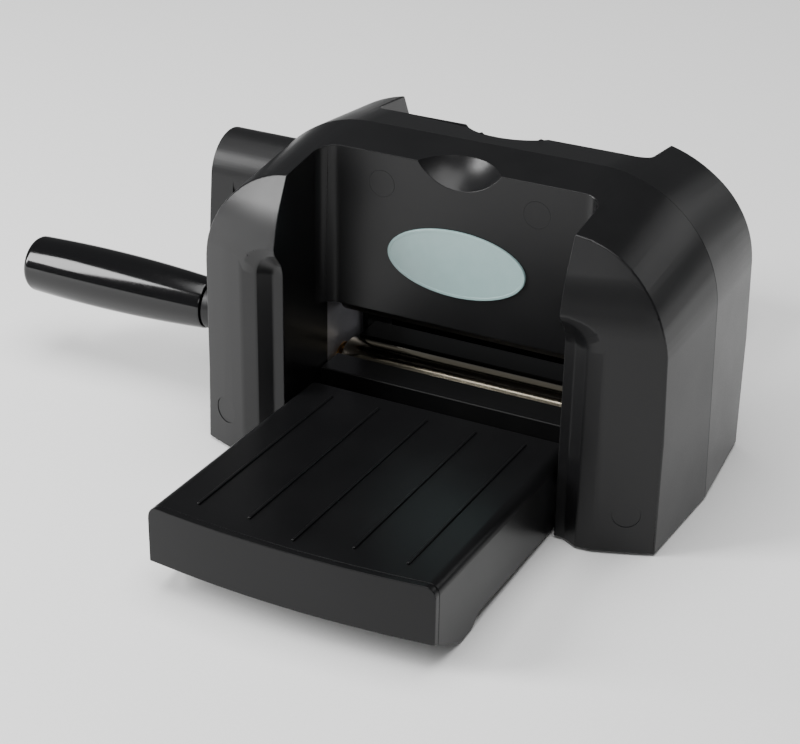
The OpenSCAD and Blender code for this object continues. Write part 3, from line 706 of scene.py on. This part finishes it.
def crank_arm():
    arm = prism("crank_arm_moulding", arm_outline(0), lambda y, z: (-ARM_X, y, z), (ARM_T, 0, 0))
    pocket = prism("pocket", arm_outline(3.2), lambda y, z: (-ARM_X - 2, y, z), (3.0, 0, 0))
    boss = rod("cap_boss", "x", -ARM_X - 3, -ARM_X + 2, (0, HUB_Z), CAP_R + 3.2, 64)
    combine(pocket, [boss], "DIFFERENCE")
    combine(arm, [rod("hub", "x", -ARM_X + 1, -HUB_IN, (0, HUB_Z), HUB_R - 0.01, 96),
                  rod("collar", "x", -COLLAR_X, -ARM_X + 1, GRIP_AT, 10.5, 64)], "UNION")
    combine(arm, [pocket, rod("cap_well", "x", -ARM_X - 1, -ARM_X + 4.5, (0, HUB_Z), CAP_R + 0.05, 64),
                  rod("screw", "x", -ARM_X - 1, -ARM_X + 6, (0, HUB_Z), 2.55, 32),
                  rod("shaft", "x", -ARM_X + 5.5, -HUB_IN + 1, (0, HUB_Z), 5.05, 64),
                  rod("bolt", "x", -COLLAR_X - 1, -ARM_X + ARM_T + 1, GRIP_AT, 4.05, 48),
                  rod("nut", "x", -ARM_X + ARM_T - 4, -ARM_X + ARM_T + 1, GRIP_AT, 7.5, 48)],
            "DIFFERENCE")
    soften(arm, 1.1, segments=3, weigh=lambda p: 1.0 if abs(p.x + ARM_X - ARM_T / 2) > 5 and p.x < -100 else 0.4)
    return to_metres(arm)


arm = crank_arm()
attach(arm, "crank")
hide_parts("crank_arm")

# %% [markdown]
# The grip is a slim barrel of polished ABS that spins on a shoulder bolt. Half its section is drawn
# once and spun about its axis, as on a lathe. A loose cap closes its outer end.

# %% Spin the grip and its cap
GRIP_X, GRIP_END, GRIP_R = 122.0, 213.0, 13.25
END_ROUND = 3.0
BORE_R, CAP_WELL_R = 4.05, 7.6


def barrel(x):
    """The grip's radius: fullest a little past the middle."""
    return GRIP_R - 0.00073 * (x - GRIP_X - 0.62 * (GRIP_END - GRIP_X)) ** 2


def lathe(name, section, steps=96):
    """Spin a closed half section (x, radius) about the grip's axis."""
    y, z = GRIP_AT
    piece = outline(name, section, lambda x, radius: (-x, y, z + radius))
    edit(piece)
    bpy.ops.mesh.delete(type="ONLY_FACE")
    bpy.ops.mesh.select_all(action="SELECT")
    bpy.ops.mesh.spin(steps=steps, angle=math.tau, center=(0, y, z), axis=(1, 0, 0))
    bpy.ops.mesh.select_all(action="SELECT")
    bpy.ops.mesh.remove_doubles(threshold=0.001)
    bpy.ops.mesh.delete_loose(use_verts=True, use_edges=True)
    bpy.ops.mesh.select_all(action="SELECT")
    bpy.ops.mesh.normals_make_consistent(inside=False)
    done()
    return piece


def grip_section():
    straight = GRIP_END - END_ROUND
    section = [(GRIP_X, BORE_R), (GRIP_X, barrel(GRIP_X) - 1.0), (GRIP_X + 0.3, barrel(GRIP_X) - 0.3),
               (GRIP_X + 1.0, barrel(GRIP_X + 1))]
    section += [(x, barrel(x)) for x in (GRIP_X + 1 + (straight - GRIP_X - 1) * i / 24
                                         for i in range(1, 25))]
    for step in range(1, 9):
        angle = math.radians(90 * step / 8)
        section.append((straight + END_ROUND * math.sin(angle),
                        barrel(straight) - END_ROUND + END_ROUND * math.cos(angle)))
    return section + [(GRIP_END, CAP_WELL_R + 0.4), (GRIP_END - 0.4, CAP_WELL_R),
                      (GRIP_END - 6.6, CAP_WELL_R), (GRIP_END - 6.6, BORE_R)]


barrel_grip = lathe("barrel_grip", grip_section())
end_cap = lathe("grip_end_cap", [(GRIP_END - 2.4, 0), (GRIP_END - 2.4, 7.5), (GRIP_END - 0.9, 7.5),
                                 (GRIP_END - 0.55, 7.2), (GRIP_END - 0.4, 6.6), (GRIP_END - 0.4, 2.0),
                                 (GRIP_END - 0.7, 0)], 64)
for piece, node in ((barrel_grip, "grip"), (end_cap, "grip_cap")):
    to_metres(piece)
    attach(piece, "grip")
    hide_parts(node)

# %% [markdown]
# ## The badge
# A thin oval plate lies on the panel. A fine raised rim runs round it, and the middle is left plain.

# %% Press the badge
BADGE_Z, BADGE_W, BADGE_H = 90.5, 29.7, 14.0


def oval_badge():
    points = [(BADGE_W * math.cos(a), BADGE_Z + BADGE_H * math.sin(a))
              for a in (math.tau * i / 96 for i in range(96))]
    plate = prism("badge_plate", points, lambda x, z: (x, -PANEL_Y, z), (0, -1.1, 0))
    edit(plate)
    pick(plate, "EDGE", lambda p, d: p.y < -PANEL_Y - 1 and abs(d.y) < 0.5)
    bpy.ops.mesh.bevel(offset=0.35, segments=3, profile=0.5, affect="EDGES")
    pick(plate, "FACE", lambda p, n: n.y < -0.99)
    bpy.ops.mesh.inset(thickness=0.8)
    bpy.ops.mesh.inset(thickness=0.12)
    bpy.ops.transform.translate(value=(0, 0.12, 0))
    done()
    return to_metres(plate)


badge_plate = oval_badge()
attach(badge_plate, "frame")
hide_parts("badge")

# %% [markdown]
# ## Finishes
# Each finish starts from what the real material is and how its surface was made. Colours are given
# as sRGB hex values, and one function turns them to the linear values that shaders expect. One small
# function adds a node with its settings and links. Patterns read Object coordinates, so they have
# their real size in millimetres.

# %% Colour and node helpers
def linear(code):
    """A colour from its sRGB hex value."""
    channels = [int(code[i:i + 2], 16) / 255 for i in (1, 3, 5)]
    return [c / 12.92 if c <= 0.04045 else ((c + 0.055) / 1.055) ** 2.4 for c in channels] + [1.0]


def add(tree, kind, inputs=None, **settings):
    """Add one node, with its settings, its input values and its links."""
    made = tree.nodes.new(kind)
    for name, value in settings.items():
        setattr(made, name, value)
    for name, value in (inputs or {}).items():
        if isinstance(value, bpy.types.NodeSocket):
            tree.links.new(value, made.inputs[name])
        else:
            made.inputs[name].default_value = value
    return made


def begin_material(name):
    """A new material with only its output, and the object's own coordinates."""
    material = bpy.data.materials.new(name)
    material.use_nodes = True
    material.node_tree.nodes.clear()
    place = add(material.node_tree, "ShaderNodeTexCoord").outputs["Object"]
    return material, material.node_tree, place


def noise(tree, place, size_mm, detail=2.0, stretch=(1, 1, 1)):
    """Noise with features of about size_mm, longer along an axis by its stretch."""
    scaled = add(tree, "ShaderNodeMapping", {"Vector": place, "Scale": [1 / s for s in stretch]})
    return add(tree, "ShaderNodeTexNoise", {"Vector": scaled.outputs["Vector"],
               "Scale": 1 / (size_mm * MM), "Detail": detail}).outputs["Fac"]


def between(tree, fac, low, high):
    """Turn a noise value, mostly 0.3 to 0.7, into a number between low and high."""
    return add(tree, "ShaderNodeMapRange", {"Value": fac, "From Min": 0.3, "From Max": 0.7,
               "To Min": low, "To Max": high}).outputs["Result"]


def tint(tree, fac, first, second):
    """A colour between two hex colours."""
    ramp = add(tree, "ShaderNodeMix", {"Factor": fac}, data_type="RGBA")
    ramp.inputs[6].default_value = linear(first)
    ramp.inputs[7].default_value = linear(second)
    return ramp.outputs[2]


def bump(tree, height, depth_mm, under=None):
    """A bump of a real depth, on top of another one if given."""
    inputs = {"Height": height, "Distance": depth_mm * MM, "Strength": 1.0}
    if under:
        inputs["Normal"] = under
    return add(tree, "ShaderNodeBump", inputs).outputs["Normal"]


def end_material(material, tree, **sockets):
    shader = add(tree, "ShaderNodeBsdfPrincipled",
                 {name.replace("_", " "): value for name, value in sockets.items()})
    add(tree, "ShaderNodeOutputMaterial", {"Surface": shader.outputs["BSDF"]})
    return material


# %% [markdown]
# The case, the trays and the arm are injection moulded. The mould's surface is spark-eroded for a
# satin grain that hides scratches, and the plastic's flow leaves faint broad variations in gloss. The
# real grain is about 0.1 mm, too fine to show, so it is drawn coarser.

# %% Moulded plastics
def moulded_plastic(name, dark, light, rough, grain_mm, grain_depth, shine=0.3):
    """Spark-eroded moulded plastic: grain in the bump, and flow marks in colour and gloss."""
    material, tree, place = begin_material(name)
    flow = noise(tree, place, 34, 3)
    grain = noise(tree, place, grain_mm, 2)
    patch = noise(tree, place, 9, 2)
    gloss = add(tree, "ShaderNodeMath", {0: between(tree, flow, rough - 0.025, rough + 0.025),
                1: between(tree, grain, -0.02, 0.02)}, operation="ADD").outputs["Value"]
    waves = bump(tree, patch, 0.012)
    return end_material(material, tree, Base_Color=tint(tree, between(tree, flow, 0, 1), dark, light),
                        Roughness=gloss, IOR=1.53, Specular_IOR_Level=shine,
                        Normal=bump(tree, grain, grain_depth, waves))


case_abs = moulded_plastic("satin_moulded_abs", "#0e0e0f", "#121213", 0.32, 0.55, 0.010)
tray_abs = moulded_plastic("smooth_satin_abs", "#0d0d0e", "#101011", 0.32, 0.5, 0.008, shine=0.22)
inner_abs = moulded_plastic("plain_moulded_abs", "#0c0c0d", "#101010", 0.34, 0.6, 0.010, shine=0.22)
arm_nylon = moulded_plastic("glass_filled_nylon", "#111112", "#161617", 0.38, 0.7, 0.016)

# %% [markdown]
# The grip is ABS from a polished mould: deep black and glossy, with only the slight waviness that
# shrinking plastic has.

# %% Polished plastic
def polished_abs():
    material, tree, place = begin_material("polished_abs")
    flow = noise(tree, place, 16, 2, (4, 1, 1))
    haze = noise(tree, place, 1.2, 3)
    return end_material(material, tree, Base_Color=tint(tree, flow, "#0b0b0c", "#101011"),
                        Roughness=between(tree, haze, 0.10, 0.14), IOR=1.54,
                        Specular_IOR_Level=0.4, Normal=bump(tree, flow, 0.03))


grip_abs = polished_abs()

# %% [markdown]
# The side plates and bars are zinc-plated sheet steel. Rolling leaves fine lines along the sheet,
# which widen the reflection across them. The rollers are ground on a lathe, so their lines run round,
# and their plating has a warm yellow passivation. The upper roller gets a dark copy of the roller
# steel instead. This is painted shade, so that the roller reads as lying in shadow under the panel.

# %% Metals
def sheet_metal(name, dull, bright, rough, line_mm, stretch, depth=0.004):
    """Metal with lines from rolling or grinding, which run along the stretched axis."""
    material, tree, place = begin_material(name)
    lines = noise(tree, place, line_mm, 3, stretch)
    cloud = noise(tree, place, 14, 3)
    return end_material(material, tree, Base_Color=tint(tree, between(tree, cloud, 0, 1), dull, bright),
                        Metallic=1.0, Roughness=between(tree, lines, rough - 0.05, rough + 0.06),
                        Normal=bump(tree, lines, depth))


frame_steel = sheet_metal("zinc_plated_sheet_steel", "#cdcdd4", "#dedde4", 0.52, 0.5, (1, 1, 24))
fastener_zinc = sheet_metal("zinc_plated_fasteners", "#a3a5a8", "#bcbdbf", 0.30, 0.35, (4, 1, 1))
roller_steel = sheet_metal("ground_passivated_steel", "#bdb39f", "#d0c6b0", 0.14, 0.25, (1, 40, 40), 0.0008)
# Painted shade: a darkened copy of the roller steel for the upper roller, so it reads as lying in shadow.
shaded_roller_steel = sheet_metal("roller_steel_painted_shade", "#3c3c3f", "#48484b", 0.42, 0.25, (1, 40, 40), 0.0008)
bush_bronze = sheet_metal("sintered_bronze", "#8f6a38", "#a87f48", 0.42, 0.3, (1, 1, 1), 0.01)

# %% [markdown]
# The gears are moulded in natural nylon: a milky off-white with a little light going in under the
# surface. The feet are moulded rubber, matt and slightly dusty.

# %% Nylon and rubber
def natural_nylon():
    material, tree, place = begin_material("natural_nylon")
    flow = noise(tree, place, 12, 2)
    grain = noise(tree, place, 0.4, 2)
    return end_material(material, tree, Base_Color=tint(tree, flow, "#d8d2bf", "#e4dfcf"),
                        Roughness=between(tree, grain, 0.38, 0.48), IOR=1.53,
                        Subsurface_Weight=0.15, Subsurface_Radius=[0.002, 0.0015, 0.001],
                        Subsurface_Scale=1.0, Normal=bump(tree, grain, 0.006))


def moulded_rubber():
    material, tree, place = begin_material("moulded_rubber")
    dust = noise(tree, place, 3, 4)
    grain = noise(tree, place, 0.35, 2)
    return end_material(material, tree, Base_Color=tint(tree, between(tree, dust, 0, 1), "#1a1a1a", "#262524"),
                        Roughness=between(tree, grain, 0.72, 0.84), IOR=1.52,
                        Normal=bump(tree, grain, 0.02))


gear_nylon, foot_rubber = natural_nylon(), moulded_rubber()

# %% [markdown]
# The badge is a printed plate in a greyed sage green, under a satin lacquer. The print's ink lies a
# little unevenly, and the lacquer has a slight orange peel.

# %% Printed and lacquered badge
def printed_badge():
    material, tree, place = begin_material("lacquered_print")
    ink = noise(tree, place, 5, 3)
    peel = noise(tree, place, 0.9, 2)
    return end_material(material, tree, Base_Color=tint(tree, between(tree, ink, 0, 1), "#95b2b1", "#9bb7b6"),
                        Roughness=between(tree, peel, 0.36, 0.44), IOR=1.5, Coat_Weight=0.5,
                        Coat_Roughness=0.2, Normal=bump(tree, peel, 0.006))


badge_print = printed_badge()
print("finishes:", sorted(m.name for m in bpy.data.materials if m.users == 0 or m.use_nodes)[:14])

# %% [markdown]
# Every piece gets the finish of its slot in the parts record: the new pieces and the engineered parts
# that stay as they are.

# %% Give every piece its finish
FINISH = {"case_abs": case_abs, "tray_abs": tray_abs, "inner_abs": inner_abs, "crank_abs": arm_nylon,
          "gloss_grip": grip_abs, "frame_steel": frame_steel, "zinc_fasteners": fastener_zinc,
          # The roller_oxide slot gets painted shade: the darkened roller steel, not a real oxide finish.
          "roller_chrome": roller_steel, "roller_oxide": shaded_roller_steel, "gear_nylon": gear_nylon, "bush_bronze": bush_bronze,
          "foot_rubber": foot_rubber, "badge_plate": badge_print}
SLOT_OF = {part["node"]: part["material_slot"] for part in frame["record"]["subparts"]}


def give(piece, finish):
    piece.data.materials.clear()
    piece.data.materials.append(finish)


for node, part in frame["nodes"].items():
    give(part, case_abs if node == "screw_plugs" else FINISH[SLOT_OF[node]])
for piece, finish in (
        (case_front, case_abs), (case_rear, case_abs), (front_deck, tray_abs), (front_cover, tray_abs),
        (rear_deck, tray_abs), (rear_cover, tray_abs), (bed_front, inner_abs), (bed_rear, inner_abs),
        # The upper roller's dark steel is painted shade.
        (upper_bar, shaded_roller_steel), (lower_bar, roller_steel), (arm, arm_nylon),
        (barrel_grip, grip_abs), (end_cap, grip_abs), (badge_plate, badge_print)):
    give(piece, finish)

# %% [markdown]
# ## Studio
# The machine stands on a pale floor under soft light. A big soft box at the front left makes the
# long highlight on the grip, one at the right lights the side, and a pale surround fills the rest.

# %% Floor, lights and surround
floor = start(bpy.ops.mesh.primitive_plane_add, "floor", size=6)


def floor_paper():
    material, tree, place = begin_material("seamless_paper")
    fibre = noise(tree, place, 1.5, 3)
    return end_material(material, tree, Base_Color=tint(tree, fibre, "#f4f4f3", "#fafafa"),
                        Roughness=between(tree, fibre, 0.85, 0.95), Specular_IOR_Level=0.2)


give(floor, floor_paper())


def soft_box(name, place, aim, width, height, power):
    """A rectangular area light, in metres, that looks at a point."""
    light = bpy.data.lights.new(name, "AREA")
    light.shape, light.size, light.size_y, light.energy = "RECTANGLE", width, height, power
    lamp = bpy.data.objects.new(name, light)
    lamp.location = place
    lamp.rotation_euler = (Vector(aim) - Vector(place)).to_track_quat("-Z", "Y").to_euler()
    bpy.context.scene.collection.objects.link(lamp)
    return lamp


soft_box("overhead", (0, -0.2, 2.2), (0, -0.1, 0), 2.0, 2.0, 58)
soft_box("key_box", (-0.9, -0.7, 0.75), (0, 0, 0.08), 0.45, 0.6, 17)
soft_box("low_box", (-1.1, -0.66, 0.36), (-0.08, -0.04, 0.11), 0.3, 0.3, 6)
soft_box("front_box", (0.28, -1.35, 0.75), (0.06, 0, 0.1), 0.7, 0.4, 2.4)
soft_box("rear_box", (0.75, 1.23, 0.62), (0, 0, 0.08), 0.7, 0.5, 1.5)

surround = bpy.data.worlds.new("surround")
bpy.context.scene.world = surround
surround.use_nodes = True
surround.node_tree.nodes["Background"].inputs["Color"].default_value = linear("#f6f8fa")
surround.node_tree.nodes["Background"].inputs["Strength"].default_value = 0.12
